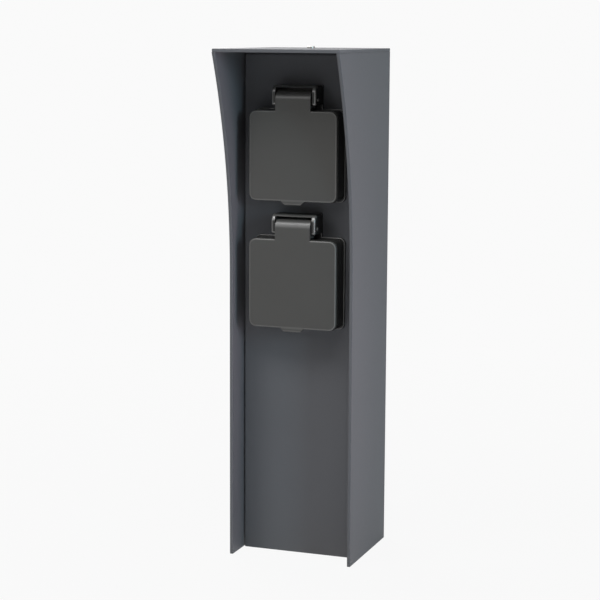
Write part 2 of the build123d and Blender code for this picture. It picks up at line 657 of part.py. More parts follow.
def well_cuts():
    """The slots and holes of the well: two earth clip slots, two pin holes, a screw hole."""
    half = CLIP_WIDTH / 2 + CLIP_CLEAR
    slot_front = clip_tip_y - 1.0
    cuts = rod_y(M3 + CLEARANCE_GAP, (floor_y - 1, well_back + 1))
    for side in (-1, 1):
        cuts += rod_y(PIN_HOLE_RADIUS, (floor_y - 1, well_back + 1), side * pole_x)
        slot_z = sorted((side * (WELL_RADIUS - 1.5), side * (well_outer + 1)))
        cuts += block((-half, half), (slot_front, floor_y - 0.01), slot_z)
        arm_z = sorted((side * (CLIP_HEIGHT - 1.1), side * (well_outer + 1)))
        cuts += block((-half, half), (slot_front, well_back + 1), arm_z)
    return cuts


def make_socket_frame():
    """The moulding on the panel: flange, collar, front face, well and the hinge's hood."""
    frame = rounded_slab(flange_width, flange_height, FLANGE_CORNER, (flange_front, flange_back))
    frame += block((-ear_outer, ear_outer), (flange_front, flange_back), (0, hood_top))
    frame = fillet(frame.edges().group_by(Axis.Y)[0], 0.5)
    frame += rounded_slab(collar_width, collar_height, collar_corner, (rim_y, flange_back))
    inner = (collar_width - 2 * COLLAR_WALL, collar_height - 2 * COLLAR_WALL, collar_corner - COLLAR_WALL)
    frame -= rounded_slab(*inner, (rim_y - 1, face_y))
    frame -= rounded_slab(*inner, (face_y + FACE_PLATE, 1))
    frame += rod_y(well_outer, (face_y, well_back))
    for x, z in frame_screw_places:
        frame += rod_y(POST_RADIUS, (face_y, 0.0), x, z)
    frame += hinge_hood()
    for x, z in frame_screw_places:
        frame -= rod_y(M35 + CLEARANCE_GAP, (face_y - 1, 1.0), x, z)
        frame -= rod_y(FRAME_SCREW_HEAD + CLEARANCE_GAP, (face_y - 1, face_y + FRAME_SCREW_SINK), x, z)
    frame -= rod_y(WELL_RADIUS, (face_y - 1, floor_y))
    frame -= rod_y(MOUTH_RADIUS, (face_y - 1, face_y + MOUTH_DEPTH))
    mouth = [
        e
        for e in frame.edges().filter_by(GeomType.CIRCLE)
        if abs(e.radius - MOUTH_RADIUS) < 0.01 and e.center().Y < face_y + 0.1
    ]
    frame = chamfer(mouth, MOUTH_CHAMFER)
    for side in (-1, 1):
        key_x = sorted((side * (WELL_RADIUS - KEY_HEIGHT), side * (WELL_RADIUS + 0.5)))
        frame += block(key_x, (face_y + KEY_START, floor_y + 0.5), (-KEY_WIDTH / 2, KEY_WIDTH / 2))
    frame -= well_cuts()
    frame -= rod_x(PIN_RADIUS + THREAD_GAP, (-ear_outer - 1, ear_outer + 1), hinge_y, hinge_z)
    leg, lead = coil_point(0.0)
    seat = (flange_front - 1, flange_front + SPRING_LEG_SEAT)
    drift = lead.X / lead.Y * (flange_front - leg.Y)
    return frame - rod_y(SPRING_WIRE / 2 + SPRING_LEG_GAP, seat, leg.X + drift, leg.Z)


def make_frame_gasket():
    sheet = rounded_slab(flange_width, flange_height, FLANGE_CORNER, (flange_back, 0.0))
    sheet += block((-ear_outer, ear_outer), (flange_back, 0.0), (0, hood_top))
    inner = (collar_width - 2 * COLLAR_WALL, collar_height - 2 * COLLAR_WALL, collar_corner - COLLAR_WALL)
    return sheet - rounded_slab(*inner, (flange_back - 1, 1.0))


def strip_face(points, thickness):
    """A face of even thickness along a line of points, mitred at its corners."""
    half = thickness / 2
    left, right = [], []
    for i, (y, z) in enumerate(points):
        normals = []
        for a, b in ((i - 1, i), (i, i + 1)):
            if a >= 0 and b < len(points):
                dy, dz = points[b][0] - points[a][0], points[b][1] - points[a][1]
                run = sqrt(dy * dy + dz * dz)
                normals.append((-dz / run, dy / run))
        ny = sum(n[0] for n in normals) / len(normals)
        nz = sum(n[1] for n in normals) / len(normals)
        stretch = half / (ny * ny + nz * nz)
        left.append((y + ny * stretch, z + nz * stretch))
        right.append((y - ny * stretch, z - nz * stretch))
    return Polyline(*left, *reversed(right), left[0])


def make_earth_clip():
    """The two earth contacts on one bridge, with the tab that ends in the earth terminal."""
    arm = (
        (clip_tip_y, CLIP_HEIGHT - CLIP_TIP_RISE),
        (clip_tip_y + CLIP_NOSE, CLIP_REACH + CLIP_STRIP / 2),
        (clip_tip_y + CLIP_BEND, CLIP_HEIGHT),
        (clip_bridge, CLIP_HEIGHT),
    )
    mirrored = [(y, -z) for y, z in reversed(arm)]
    clip = side_profile(strip_face([*arm, *mirrored], CLIP_STRIP), CLIP_WIDTH / 2)
    tab_z = (-CLIP_TAB_DROP - CLIP_STRIP / 2, -CLIP_TAB_DROP + CLIP_STRIP / 2)
    clip += block((-CLIP_WIDTH / 2, CLIP_WIDTH / 2), (clip_bridge, terminal_back), tab_z)
    top_z = -CLIP_TAB_DROP + EARTH_TERMINAL_HEIGHT
    half = TERMINAL_SIZE / 2
    clip += block((-half, half), (carrier_back + CLIP_CLEAR, terminal_back), (-CLIP_TAB_DROP, top_z))
    clip -= rod_y(M3 + CLEARANCE_GAP, (clip_bridge - 1, clip_bridge + 1))
    clip -= rod_z(WIRE_RADIUS + WIRE_END_GAP, (-CLIP_TAB_DROP - 2, top_z - 1.5), 0, wire_y)
    return clip - rod_y(M3 + THREAD_GAP, (wire_y, terminal_back + 1), 0, earth_screw_z)


def make_contact(side):
    """A pin contact: a slit sleeve and the terminal behind it."""
    half = TERMINAL_SIZE / 2
    x = side * pole_x
    sleeve = rod_y(SLEEVE_OUTER, (well_back + 0.5, terminal_front + 0.5), x)
    sleeve -= rod_y(SLEEVE_INNER, (well_back, terminal_front), x)
    slit = (min(0, side * SLEEVE_OUTER * 2), max(0, side * SLEEVE_OUTER * 2))
    sleeve -= block(
        (x + slit[0], x + slit[1]),
        (well_back, terminal_front - 2),
        (-SLEEVE_SLIT / 2, SLEEVE_SLIT / 2),
    )
    contact = sleeve + block((x - half, x + half), (terminal_front, terminal_back), (-half, half))
    contact -= rod_z(WIRE_RADIUS + WIRE_END_GAP, (-half - 1, 1.0), x, wire_y)
    return contact - rod_y(M3 + THREAD_GAP, (wire_y, terminal_back + 1), x)


def make_contact_carrier():
    """The moulding behind the well that holds the contacts and the clips' bridge."""
    body = rod_y(well_outer, (well_back, carrier_step)) + rod_y(CARRIER_RADIUS, (well_back, carrier_back))
    half = TERMINAL_SIZE / 2 + CONTACT_CLEAR
    channel = CLIP_WIDTH / 2 + CLIP_CLEAR
    depth = clip_bridge + CLIP_STRIP / 2 + WIRE_END_GAP
    body -= block((-channel, channel), (well_back - 1, depth), (-well_outer - 1, well_outer + 1))
    for side in (-1, 1):
        x = side * pole_x
        body -= rod_y(SLEEVE_OUTER + CONTACT_CLEAR, (well_back - 1, carrier_back), x)
        pocket_y = (terminal_front - CONTACT_CLEAR, carrier_back + 1)
        body -= block((x - half, x + half), pocket_y, (-half, half))
    body -= rod_y(M3 + THREAD_GAP, (well_back, well_screw_tip + BACK_SCREW_TIP_GAP))
    tab = CLIP_STRIP / 2 + CLIP_CLEAR
    tab_z = (-CLIP_TAB_DROP - tab, -CLIP_TAB_DROP + tab)
    return body - block((-channel, channel), (well_back, carrier_back + 1), tab_z)


def make_rear_cap():
    """The cup over the terminals, with a slot below for the wires."""
    inner = CARRIER_RADIUS + CAP_CLEAR
    outer = inner + CAP_WALL
    end = carrier_step + CAP_DEPTH
    cap = rod_y(outer, (carrier_step, end))
    cap = fillet(cap.edges().group_by(Axis.Y)[-1], CAP_END * 0.8)
    cap -= rod_y(inner, (carrier_step - 1, end - CAP_END))
    half = pole_x + WIRE_RADIUS + CAP_SLOT_CLEAR
    gap = WIRE_RADIUS + CAP_SLOT_CLEAR
    return cap - block((-half, half), (wire_y - gap, wire_y + gap), (-outer - 1, -inner / 2))


def make_lid():
    """The spring-closed lid: plate, hinge lug with its barrel, finger tab and inner ribs."""
    lid = rounded_slab(LID_WIDTH, LID_HEIGHT, LID_CORNER, (lid_front, lid_back))
    lug_y = (lid_front, lid_back)
    lid += block((-LUG_WIDTH / 2, LUG_WIDTH / 2), lug_y, (LID_HEIGHT / 2 - LID_CORNER, hinge_z))
    low = -LID_HEIGHT / 2
    tab = Polyline(
        (-TAB_WIDTH / 2, low),
        (-TAB_TIP_WIDTH / 2, low - TAB_DROP),
        (TAB_TIP_WIDTH / 2, low - TAB_DROP),
        (TAB_WIDTH / 2, low),
        (TAB_WIDTH / 2, low + TAB_ROOT),
        (-TAB_WIDTH / 2, low + TAB_ROOT),
        (-TAB_WIDTH / 2, low),
    )
    grip = extrude(make_face(tab), LID_PLATE / 2, both=True)
    grip = Pos(0, (lid_front + lid_back) / 2, 0) * Rot(90, 0, 0) * grip
    tip = [e for e in grip.edges().filter_by(Axis.X) if e.center().Y < lid_front + 0.1]
    tip = [e for e in tip if e.center().Z < low - 1]
    lid += fillet(tip, TAB_ROUND)
    rim = [e for e in lid.edges() if e.bounding_box().max.Y < lid_front + 0.01]
    rim = [e for e in rim if e.bounding_box().max.Z < LID_HEIGHT / 2 + 0.01]
    rim = [e for e in rim if e.bounding_box().min.Z > low - 0.01]
    lid = fillet(rim, LID_EDGE_ROUND)
    lid += rod_x(BARREL_RADIUS, (-LUG_WIDTH / 2, LUG_WIDTH / 2), hinge_y, hinge_z)
    rib_inner = SEAL_OUTER + SEAL_RIB_GAP
    rib_y = (lid_back - 0.2, lid_back + SEAL_RIB_HEIGHT)
    room = (lid_back - 1, lid_back + 2 * SEAL_RIB_HEIGHT)
    lid += rod_y(rib_inner + SEAL_RIB_WALL, rib_y) - rod_y(rib_inner, room)
    reach = SEAL_INNER - 2.0
    for width, height in ((LID_RIB / 2, reach), (reach, LID_RIB / 2)):
        lid += block((-width, width), (lid_back - 0.2, lid_back + LID_RIB), (-height, height))
    half = POCKET_WIDTH / 2
    drive_y = hinge_y - SPRING_RADIUS - SPRING_WIRE / 2 - SPRING_DRIVE_GAP
    bottom = hinge_z - POCKET_RADIUS
    past = 2 * BARREL_RADIUS
    pocket = rod_x(POCKET_RADIUS, (-half, half), hinge_y, hinge_z)
    pocket -= block((-half - 1, half + 1), (drive_y - past, drive_y), (bottom - 1, hinge_z + past))
    lid -= pocket
    lid -= block((-half, half), (hinge_y - POCKET_CUT, hinge_y + past), (bottom, hinge_z + past))
    return lid - rod_x(PIN_RADIUS + PIN_RUNNING_GAP, (-LUG_WIDTH, LUG_WIDTH), hinge_y, hinge_z)


def make_lid_seal():
    depth = (lid_back, face_y - SEAL_GAP)
    ring = rod_y(SEAL_OUTER, depth)
    ring -= rod_y(SEAL_INNER, (lid_back - 1, face_y + 1))
    return fillet([e for e in ring.edges() if e.center().Y > depth[1] - 0.1], 0.8)


def make_hinge_pin():
    reach = ear_outer + PIN_STANDOUT
    pin = rod_x(PIN_RADIUS, (-reach, reach), hinge_y, hinge_z)
    return fillet(pin.edges().filter_by(GeomType.CIRCLE), 0.4)


def coil_point(share):
    """A point of the spring's coil and its direction, for a share of its length."""
    angle = radians(-90 - spring_sweep * share)
    point = Vector(
        SPRING_LENGTH / 2 - SPRING_LENGTH * share,
        hinge_y + SPRING_RADIUS * cos(angle),
        hinge_z + SPRING_RADIUS * sin(angle),
    )
    round_the_pin = SPRING_RADIUS * radians(spring_sweep)
    run = Vector(-SPRING_LENGTH, round_the_pin * sin(angle), -round_the_pin * cos(angle))
    return point, run.normalized()


def biarc(start, start_direction, end, end_direction):
    """Two arcs that join two points and leave and reach them in the given directions."""
    chord = end - start
    both = start_direction + end_direction
    bend = 2 * (1 - start_direction.dot(end_direction))
    along = chord.dot(both)
    reach = (-along + sqrt(along * along + bend * chord.dot(chord))) / bend
    middle = (start + start_direction * reach + end - end_direction * reach) * 0.5
    halfway = (end - end_direction * reach - start - start_direction * reach).normalized()
    return [
        Edge.make_tangent_arc(start, start_direction, middle),
        Edge.make_tangent_arc(middle, halfway, end),
    ]


def least_gap(path, wire):
    """The smallest clear distance between stretches of a wound wire, measured on points."""
    steps = 900
    points = [path.position_at(i / steps) for i in range(steps + 1)]
    skip = round(steps * pi * SPRING_RADIUS / path.length)
    nearest = min(
        (points[i] - points[j]).length for i in range(steps + 1) for j in range(i + skip, steps + 1)
    )
    return nearest - wire


def make_hinge_spring():
    """A torsion spring round the pin: one leg sits in the hood's back, one drives the lid."""
    quarters = 4 * SPRING_TURNS + 1
    start, lead = coil_point(0.0)
    reach = (flange_front + SPRING_LEG_SEAT - WIRE_END_GAP - start.Y) / lead.Y
    foot = start + lead * reach
    edges = [Edge.make_line(foot, start)]
    for i in range(quarters):
        edges += biarc(*coil_point(i / quarters), *coil_point((i + 1) / quarters))
    end, out = coil_point(1.0)
    rise = sqrt(POCKET_RADIUS ** 2 - (SPRING_RADIUS + SPRING_WIRE / 2) ** 2) - WIRE_END_GAP
    edges.append(Edge.make_line(end, end + out * rise))
    path = Wire(edges)
    spring = sweep(Plane(origin=foot, z_dir=lead) * Circle(SPRING_WIRE / 2), path=path)
    print("spring of", quarters / 4, "turns, least gap", round(least_gap(path, SPRING_WIRE), 2), "mm")
    return spring


def frame_screw():
    """One of a socket's corner screws, its head sunk in the front face."""
    head_under = face_y + FRAME_SCREW_SINK
    length = SHEET + NUT_HEIGHT + FRAME_SCREW_TAIL - head_under
    return Pos(0, head_under, 0) * facing_viewer(
        pan_screw(M35, length, FRAME_SCREW_HEAD, FRAME_SCREW_SINK - 0.2, FRAME_SCREW_HEAD * 1.2)
    )


def make_frame_screws():
    screw = frame_screw()
    heights = socket_heights.values()
    return [in_panel(Pos(x, 0, z) * screw, height) for height in heights for x, z in frame_screw_places]


def make_frame_nuts():
    nut = hexagon(NUT_ACROSS, NUT_HEIGHT) - rod_z(M35 + THREAD_GAP, (-1, NUT_HEIGHT + 1))
    nut = Pos(0, SHEET, 0) * facing_back(nut)
    heights = socket_heights.values()
    return [in_panel(Pos(x, 0, z) * nut, height) for height in heights for x, z in frame_screw_places]


def make_well_screws():
    """The screw in the floor of each well, which draws the contact carrier on."""
    screw = pan_screw(M3, well_screw_tip - floor_y, PAN_HEAD, PAN_HEAD_HEIGHT, PAN_HEAD)
    return [in_panel(Pos(0, floor_y, 0) * facing_viewer(screw), c) for c in socket_heights.values()]


def make_contact_screws():
    """The clamp screws in the sockets' terminals, which bear on the wires."""
    length = terminal_back - wire_y - WIRE_RADIUS - THREAD_GAP
    screw = Pos(0, terminal_back, 0) * facing_back(
        pan_screw(M3, length, SMALL_HEAD, SMALL_HEAD_HEIGHT, SMALL_DRIVE)
    )
    places = ((-pole_x, 0.0), (pole_x, 0.0), (0.0, earth_screw_z))
    return [in_panel(Pos(x, 0, z) * screw, c) for c in socket_heights.values() for x, z in places]


def in_panel(part, centre):
    """Move a part from a socket's own frame to its place on the panel."""
    return Pos(0, panel_y, centre) * part


def build_housing():
    return {
        "housing_shell": make_housing_shell(),
        "roof_plate": make_roof_plate(),
        "roof_screw": make_roof_screw(),
        "roof_rivet_nut": make_roof_rivet_nut(),
        "front_panel": make_front_panel(),
        "panel_standoffs": make_panel_standoffs(),
        "back_screws": make_back_screws(),
        "ground_bracket": make_ground_bracket(),
        "cable_grommet": make_cable_grommet(),
        "cable_clamp": make_cable_clamp(),
        "cable_clamp_screws": make_cable_clamp_screws(),
        "terminal_block": make_terminal_block(),
        "terminal_screws": make_terminal_screws(),
        "earth_stud": make_earth_stud(),
        "earth_lug": make_earth_lug(),
        "earth_nut": make_earth_nut(),
        "bonding_wire": make_bonding_wire(),
        "frame_screws": make_frame_screws(),
        "frame_nuts": make_frame_nuts(),
        "well_screws": make_well_screws(),
        "contact_screws": make_contact_screws(),
    }


def build_sockets():
    pieces = {
        "socket_frame": make_socket_frame(),
        "frame_gasket": make_frame_gasket(),
        "contact_carrier": make_contact_carrier(),
        "earth_clip": make_earth_clip(),
        "live_contact": make_contact(-1),
        "neutral_contact": make_contact(1),
        "rear_cap": make_rear_cap(),
        "lid": make_lid(),
        "lid_seal": make_lid_seal(),
        "hinge_pin": make_hinge_pin(),
        "hinge_spring": make_hinge_spring(),
    }
    parts = {}
    for socket, centre in socket_heights.items():
        for name, piece in pieces.items():
            parts[socket + "_" + name] = in_panel(piece, centre)
        for pole in pole_places:
            parts[socket + "_" + pole + "_wire"] = make_socket_wire(socket, pole)
    return parts


def main():
    os.makedirs("parts", exist_ok=True)
    for name, part in {**build_housing(), **build_sockets()}.items():
        solids = part if isinstance(part, list) else [part]
        shape = Compound(children=solids) if len(solids) > 1 else solids[0]
        export_step(shape, "parts/" + name + ".step")
        print(name, len(solids), "piece" if len(solids) == 1 else "pieces")


main()
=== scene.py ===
import json
from functools import partial
from math import cos, pi, radians, sin

import bpy
from bpy.props import FloatProperty, FloatVectorProperty, PointerProperty
from mathutils import Matrix, Vector


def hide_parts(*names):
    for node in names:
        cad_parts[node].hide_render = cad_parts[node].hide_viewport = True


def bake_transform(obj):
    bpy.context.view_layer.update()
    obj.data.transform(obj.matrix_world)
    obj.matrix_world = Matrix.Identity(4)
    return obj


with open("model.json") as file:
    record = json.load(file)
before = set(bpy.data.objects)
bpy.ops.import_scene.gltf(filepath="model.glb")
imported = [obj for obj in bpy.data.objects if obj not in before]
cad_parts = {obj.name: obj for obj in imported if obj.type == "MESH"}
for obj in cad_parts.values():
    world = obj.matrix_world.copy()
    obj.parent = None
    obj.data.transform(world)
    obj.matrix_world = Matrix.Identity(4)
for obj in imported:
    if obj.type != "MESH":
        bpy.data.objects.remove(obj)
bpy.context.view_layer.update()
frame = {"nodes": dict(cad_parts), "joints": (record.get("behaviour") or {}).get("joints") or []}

bl_info = {
    "name": "Garden Socket Column",
    "version": (1, 0, 0),
    "blender": (4, 5, 0),
    "location": "3D View > Sidebar > Column",
    "description": "Finishes, hinge springs and studio for a garden socket column",
    "category": "Object",
}

MM = 0.001
SOCKETS = ("lower", "upper")
HINGES = {joint["name"]: joint for joint in frame["joints"]}

# Each lid's front, as the solids have it
LID_WIDTH = 64.4 * MM
LID_HEIGHT = 62.3 * MM
LID_CORNER = 5.0 * MM
LID_BELOW_HINGE = 38.6 * MM   # hinge's axis down to the lid's middle
LUG_WIDTH = 25.6 * MM

# Painted highlights on the mouldings' rims and rounded edges
RIM_WIDTH = 1.25 * MM         # width of the painted highlight along a lid's rim
RIM_FADE = 0.35 * MM          # of that line towards the lid's middle
OUTER_FADE = 0.3 * MM         # of that line past the lid's front, and beside the lug
LUG_MARGIN = 0.6 * MM         # beside the lug, where the rim has no painted highlight
LUG_RISE = 1.0 * MM           # above the lid's middle, where the lug's bare stretch sets in
LEAN_RISE = 30.0              # how fast a rounded edge's shine sets in as it leans back
SIDE_FADE = 6.0               # how fast it fades where the edge turns into a side

# Welding and softening of the solids' meshes
WELD = 0.004 * MM
FLAT_ANGLE = radians(0.6)     # faces that meet at less become one
SHARP_ANGLE = radians(32.0)   # faces that meet at more have an edge between them
EDGE_SEGMENTS = 2
AREA_WEIGHT = 100             # large faces rule the shading of the soft edges beside them
RUBBER_EDGE = 0.1 * MM
INSERT_EDGE = 0.2 * MM
STEEL_EDGE = 0.06 * MM
BRASS_EDGE = 0.05 * MM
BRACKET_EDGE = 0.15 * MM

# Spring's mesh
TUBE_SIDES = 12
STEPS_PER_TURN = 28
FOOT_STEPS = 6                # along the leg to the hood's back
DRIVE_STEPS = 4               # along the leg on the lid's side
WIRE_SHARP_ANGLE = radians(50.0)

# Studio, with places and sizes in metres
FLOOR_REACH = 6.0             # from the middle to the floor's edges
FLOOR_DROP = 0.05 * MM        # below the column's foot
FLOOR_PAINT = (0.8, 0.8, 0.8)
SHADOW_REACH = 0.8            # from the middle to where the floor's shadow ends
SHADOW_RISE = 1.5             # how fast it sets in, per metre towards the middle
SHADOW_SHARE = 0.03           # of the floor's own paint that shows near the column
SENSOR = 36.0                 # width in millimetres
WHITE = (1.0, 1.0, 1.0)
MIDDLE = (0, 0, 0.19)         # about the column's middle, where most lamps point
NO_GRID = 180.0               # spread of an open lamp, in degrees
GRID = 40.0                   # spread of the strip lamp


def both(*names):
    """The nodes of both sockets for the given plain names."""
    return [socket + "_" + name for socket in SOCKETS for name in names]


# Settings


class SheetFinish(bpy.types.PropertyGroup):
    """Powder coat on the bent sheet."""

    colour: FloatVectorProperty(
        name="Colour", description="Coat's colour", subtype="COLOR", default=(0.130, 0.133, 0.144)
    )
    grain: FloatProperty(
        name="Grain", description="Width of one grain", unit="LENGTH", default=0.7 * MM
    )
    gloss: FloatProperty(name="Roughness", description="Coat's mean roughness", default=0.52)
    edge: FloatProperty(
        name="Edge", description="Softening of cut edges", unit="LENGTH", default=0.3 * MM
    )


class LidFinish(bpy.types.PropertyGroup):
    """Moulded plastic of the lids."""

    colour: FloatVectorProperty(
        name="Colour", description="Lids' colour", subtype="COLOR", default=(0.064, 0.063, 0.06)
    )
    grain: FloatProperty(
        name="Grain", description="Width of one grain", unit="LENGTH", default=0.35 * MM
    )
    gloss: FloatProperty(name="Roughness", description="Lids' mean roughness", default=0.42)
    # Painted highlight: how much paler the lids' rims are painted
    highlight_gain: FloatProperty(name="Highlight", description="How much paler the rubbed rims are", default=1.6)
    edge: FloatProperty(
        name="Edge", description="Rounding of small edges", unit="LENGTH", default=0.3 * MM
    )


class FrameFinish(bpy.types.PropertyGroup):
    """Moulded plastic of the sockets' frames."""

    colour: FloatVectorProperty(
        name="Colour", description="Frames' colour", subtype="COLOR", default=(0.02, 0.02, 0.019)
    )
    gloss: FloatProperty(name="Roughness", description="Frames' mean roughness", default=0.42)
    # Painted highlight: how much paler the frames' rounded edges are painted
    highlight_gain: FloatProperty(name="Highlight", description="How much paler the rubbed edges are", default=4.5)
    edge: FloatProperty(
        name="Edge", description="Rounding of small edges", unit="LENGTH", default=0.25 * MM
    )


class SpringShape(bpy.types.PropertyGroup):
    """Torsion spring round each hinge pin."""

    wire: FloatProperty(name="Wire", description="Diameter", unit="LENGTH", default=0.7 * MM)
    radius: FloatProperty(
        name="Radius", description="Pin's axis to wire's middle", unit="LENGTH", default=2.4 * MM
    )
    length: FloatProperty(
        name="Length", description="Coil's length along the pin", unit="LENGTH", default=8.0 * MM
    )
    foot: FloatProperty(
        name="Fixed Leg", description="Leg to the hood's back", unit="LENGTH", default=9.75 * MM
    )
    drive: FloatProperty(
        name="Driving Leg", description="Leg on the lid's side", unit="LENGTH", default=3.55 * MM
    )
    turns: FloatProperty(name="Turns", description="Turns of the coil", default=5.25)


class StudioSet(bpy.types.PropertyGroup):
    """Camera, lamps and backdrop."""

    eye: FloatVectorProperty(
        name="Eye", description="Camera's place", subtype="XYZ", unit="LENGTH",
        default=(0.426985, -1.172867, 0.375025),
    )
    yaw: FloatProperty(
        name="Yaw", description="Turn to the left", subtype="ANGLE", unit="ROTATION", default=0.3506
    )
    pitch: FloatProperty(
        name="Pitch", description="Look down", subtype="ANGLE", unit="ROTATION", default=0.1522
    )
    roll: FloatProperty(
        name="Roll", description="Camera's tilt", subtype="ANGLE", unit="ROTATION", default=0.0053
    )
    lens: FloatProperty(name="Lens", description="Focal length in millimetres", default=107.0)
    high_power: FloatProperty(
        name="High Lamp", description="High softbox in front", unit="POWER", default=13.9
    )
    left_power: FloatProperty(
        name="Left Lamp", description="Softbox at the left front", unit="POWER", default=3.6
    )
    side_power: FloatProperty(
        name="Side Lamp", description="Strip lamp at the right", unit="POWER", default=0.6
    )
    back_power: FloatProperty(
        name="Back Lamp", description="Softbox behind at the left", unit="POWER", default=17.0
    )
    window_power: FloatProperty(
        name="Window", description="Cool light from the right front", unit="POWER", default=6.8
    )
    window_tint: FloatVectorProperty(
        name="Window Tint", description="Window's colour", subtype="COLOR",
        default=(0.6, 0.87, 1.0),
    )
    side_tint: FloatVectorProperty(
        name="Side Tint", description="Strip lamp's colour", subtype="COLOR",
        default=(1.0, 0.78, 0.84),
    )
    ambient: FloatProperty(
        name="Ambient", description="Strength of the light from all round", default=0.05
    )
    shade: FloatVectorProperty(
        name="Shade", description="Colour of the light from all round", subtype="COLOR",
        default=(1.0, 0.93, 0.8),
    )
    backdrop: FloatVectorProperty(
        name="Backdrop", description="Floor and background", subtype="COLOR",
        default=(0.955, 0.955, 0.955),
    )


SETTINGS = {
    "column_sheet": SheetFinish,
    "column_lid": LidFinish,
    "column_frame": FrameFinish,
    "column_spring": SpringShape,
    "column_studio": StudioSet,
}


# Materials


class Channel:
    """One socket of a material's nodes; arithmetic on it adds the Math nodes that work it out."""

    def __init__(self, tree, socket=None):
        self.tree = tree
        self.socket = socket

    def node(self, kind, settings=None, values=None, out=0):
        """Add a node: its settings first, then its sockets' values or links; gives one output."""
        made = self.tree.nodes.new(kind)
        for name, value in (settings or {}).items():
            setattr(made, name, value)
        for name, value in (values or {}).items():
            if isinstance(value, Channel):
                self.tree.links.new(value.socket, made.inputs[name])
            else:
                made.inputs[name].default_value = value
        return Channel(self.tree, made.outputs[out])

    def maths(self, operation, first, second):
        return self.node("ShaderNodeMath", {"operation": operation}, {0: first, 1: second})

    def __add__(self, other):
        return self.maths("ADD", self, other)

    __radd__ = __add__

    def __sub__(self, other):
        return self.maths("SUBTRACT", self, other)

    def __rsub__(self, other):
        return self.maths("SUBTRACT", other, self)

    def __mul__(self, other):
        return self.maths("MULTIPLY", self, other)

    __rmul__ = __mul__

    def __pow__(self, other):
        return self.maths("POWER", self, other)

    def size(self):
        """Its value without its sign."""
        return self.node("ShaderNodeMath", {"operation": "ABSOLUTE"}, {0: self})

    def above(self, least):
        """How far it goes beyond a least value, or 0."""
        return self.maths("MAXIMUM", self - least, 0.0)

    def clamped(self):
        """Its value, kept between 0 and 1."""
        return self.node("ShaderNodeClamp", None, {"Value": self})

    def noise(self, place, width, detail=2.0, rough=0.5):
        """Noise whose blots are about as wide as given, in metres, with two across each cell."""
        values = {"Vector": place, "Scale": 0.5 / width, "Detail": detail, "Roughness": rough}
        return self.node("ShaderNodeTexNoise", None, values, "Fac")

    def blend(self, first, second, share):
        """A colour between two, by a share."""
        # Sockets 6 and 7 and output 2 are the node's colour ones
        values = {0: share, 6: opaque(first), 7: opaque(second)}
        return self.node("ShaderNodeMix", {"data_type": "RGBA"}, values, 2)


def opaque(colour):
    """A colour as a colour socket takes it."""
    return colour if isinstance(colour, Channel) else (*tuple(colour)[:3], 1.0)


def scaled(colour, factor):
    """A colour made brighter or darker."""
    return tuple(channel * factor for channel in tuple(colour)[:3])


class Finish:
    """A material being made: its start, its place on the object, and its shader."""

    def __init__(self, name):
        self.material = bpy.data.materials.new(name)
        self.material.use_nodes = True
        tree = self.material.node_tree
        self.shader = tree.nodes["Principled BSDF"]
        self.start = Channel(tree)
        self.place = self.start.node("ShaderNodeTexCoord", out="Object")

    def axis(self, name):
        """Where on the object it is, along one axis."""
        return self.start.node("ShaderNodeSeparateXYZ", None, {"Vector": self.place}, name)

    def leaning(self, name):
        """The surface's lean along one of the object's axes, from -1 to 1."""
        normal = self.start.node("ShaderNodeTexCoord", out="Normal")
        return self.start.node("ShaderNodeSeparateXYZ", None, {"Vector": normal}, name)

    def fixed(self, **values):
        """Set the shader's even values; underscores stand for spaces."""
        for name, value in values.items():
            self.shader.inputs[name.replace("_", " ")].default_value = value

    def vary(self, name, channel):
        """Feed one of the shader's sockets with what varies over the surface."""
        self.start.tree.links.new(channel.socket, self.shader.inputs[name])

    def roughen(self, least, *swings):
        """Roughness from a least value up; each swing is a channel and the most that it adds."""
        for channel, most in swings:
            least = least + channel * most
        self.vary("Roughness", least)

    def bump(self, height, depth, strength):
        """Raise the surface by a height of 0 to 1 times a depth in metres."""
        self.vary("Normal", self.start.node(
            "ShaderNodeBump", None, {"Height": height, "Distance": depth, "Strength": strength}
        ))


def powder_coat(name, sheet):
    """Fine structured powder coat: small peel, faint cloudiness and dust towards the ground."""
    cloud_width, cloud_contrast = 34 * MM, 0.07
    speck_width, speck_start, speck_share, speck_tone = 0.35 * MM, 0.62, 1.6, 1.22
    dust_height, dust_colour, dust_share = 60 * MM, (0.19, 0.18, 0.165), 0.3
    gloss_dip = 0.05
    coat = Finish(name)
    start, place = coat.start, coat.place
    peel = start.noise(place, sheet.grain, detail=3.0, rough=0.6)
    cloud = start.noise(place, cloud_width)
    speck = start.noise(place, speck_width, detail=1.0)
    dust = (1.0 - coat.axis("Z") * (1 / dust_height)).clamped() ** 2.0
    tone = start.blend(
        scaled(sheet.colour, 1 - cloud_contrast), scaled(sheet.colour, 1 + cloud_contrast), cloud
    )
    tone = start.blend(
        tone, scaled(sheet.colour, speck_tone), (speck - speck_start).clamped() * speck_share
    )
    coat.vary("Base Color", start.blend(tone, dust_colour, dust * cloud * dust_share))
    coat.roughen(sheet.gloss - gloss_dip, (peel, 0.09), (cloud, 0.04))
    coat.fixed(Specular_IOR_Level=0.18)
    coat.bump(peel, depth=0.05 * MM, strength=0.55)
    return coat.material


